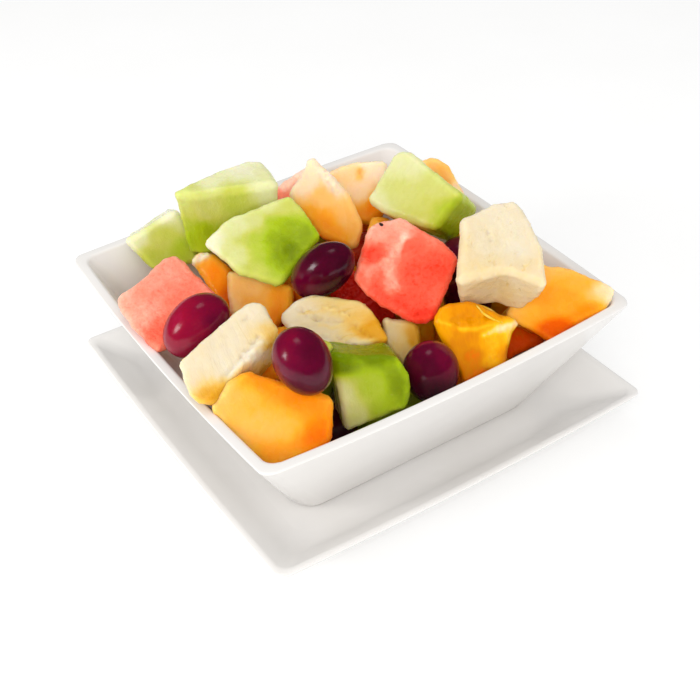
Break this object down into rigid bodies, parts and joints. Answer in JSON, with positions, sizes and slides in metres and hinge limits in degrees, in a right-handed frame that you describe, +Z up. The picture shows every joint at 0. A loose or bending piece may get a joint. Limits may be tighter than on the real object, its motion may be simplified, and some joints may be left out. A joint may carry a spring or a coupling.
{
  "type": "fruit salad in a bowl",
  "caption": "Cut melon, watermelon, pineapple, orange and whole grapes heaped in a square white porcelain bowl on its square saucer.",
  "frame": {"origin": "middle of the saucer's foot, on the surface it stands on", "axes": "+Z up; X and Y square to the sides of the dishes; the front corner, from which the heap is seen, is towards -X -Y"},
  "size_m": [0.1586, 0.1586, 0.0884],
  "materials": {
    "porcelain": "gloss",
    "honeydew": "satin",
    "cantaloupe": "satin",
    "watermelon": "satin",
    "pineapple": "satin",
    "orange": "gloss",
    "grape": "gloss"
  },
  "bodies": {
    "root": {"bowl": "porcelain", "saucer": "porcelain", "honeydew_far_left": "honeydew", "honeydew_big_back": "honeydew", "honeydew_left": "honeydew", "honeydew_right": "honeydew", "honeydew_front": "honeydew", "watermelon_left": "watermelon", "watermelon_big": "watermelon", "watermelon_low": "watermelon", "watermelon_back": "watermelon", "cantaloupe_tip": "cantaloupe", "cantaloupe_back": "cantaloupe", "cantaloupe_far_right": "cantaloupe", "cantaloupe_sunk_left": "cantaloupe", "cantaloupe_left": "cantaloupe", "cantaloupe_front": "cantaloupe", "cantaloupe_right": "cantaloupe", "pineapple_right": "pineapple", "pineapple_long": "pineapple", "pineapple_middle": "pineapple", "pineapple_small": "pineapple", "orange_piece": "orange", "orange_strip": "orange", "orange_low": "orange", "orange_far": "orange", "watermelon_base_left": "watermelon", "cantaloupe_base_back": "cantaloupe", "honeydew_base_right": "honeydew", "honeydew_base_left": "honeydew", "pineapple_base_middle": "pineapple", "cantaloupe_base_right": "cantaloupe", "honeydew_base_front": "honeydew", "cantaloupe_base_front": "cantaloupe", "cantaloupe_under_left": "cantaloupe", "honeydew_under_front": "honeydew", "cantaloupe_under_right": "cantaloupe", "cantaloupe_under_middle": "cantaloupe", "pineapple_under_back": "pineapple", "watermelon_under_back": "watermelon", "cantaloupe_corner": "cantaloupe", "pineapple_back_left": "pineapple", "orange_under_right": "orange", "honeydew_back_middle": "honeydew", "grape_left": "grape", "grape_front": "grape", "grape_top": "grape", "grape_right": "grape", "grape_back": "grape", "grape_low": "grape", "grape_sunk": "grape"}
  },
  "joints": []
}
